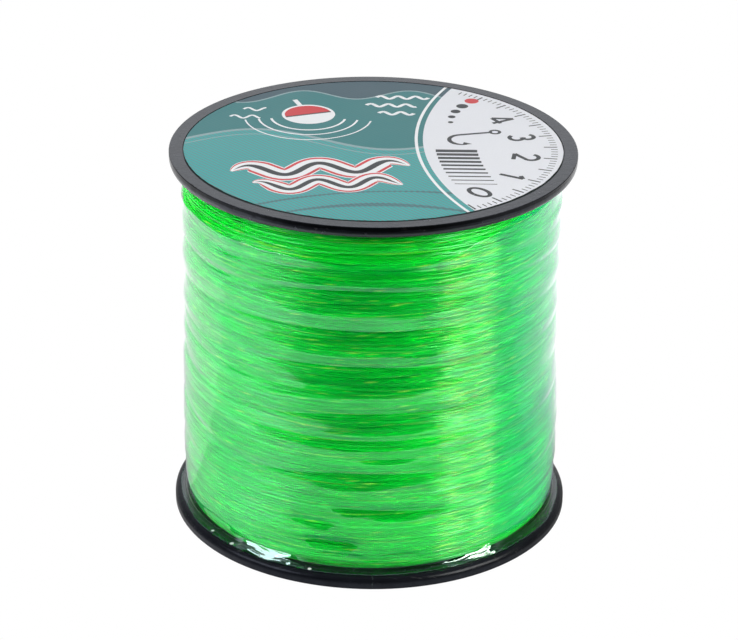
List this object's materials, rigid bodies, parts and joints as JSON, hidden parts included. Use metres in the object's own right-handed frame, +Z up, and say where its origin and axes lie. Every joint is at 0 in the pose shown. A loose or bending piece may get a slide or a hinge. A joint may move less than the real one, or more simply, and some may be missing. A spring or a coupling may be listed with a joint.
{
  "type": "fishing line spool",
  "caption": "Full spool of clear green line: black flanges on a hollow drum, ribbed line winding under clear shrink film, round printed label and a central bore for a spindle.",
  "frame": {"origin": "centre of the lower flange's resting face, on the spool's axis", "axes": "+Z up along the spool's axis towards the labelled end, -Y towards the viewer"},
  "size_m": [0.079, 0.079, 0.0755],
  "materials": {
    "spool_plastic": "satin, finely grained on the outer faces",
    "line": "clear green nylon monofilament",
    "film": "clear shrink film, glossy",
    "label": "printed, satin varnish",
    "tape": "masking tape"
  },
  "bodies": {
    "root": {"upper_flange": "spool_plastic", "lower_flange": "spool_plastic", "core_barrel": "spool_plastic", "arbor_tube": "spool_plastic", "start_tape": "tape", "line_winding": "line", "line_end": "line", "shrink_film": "film", "top_label": "label"}
  },
  "joints": []
}
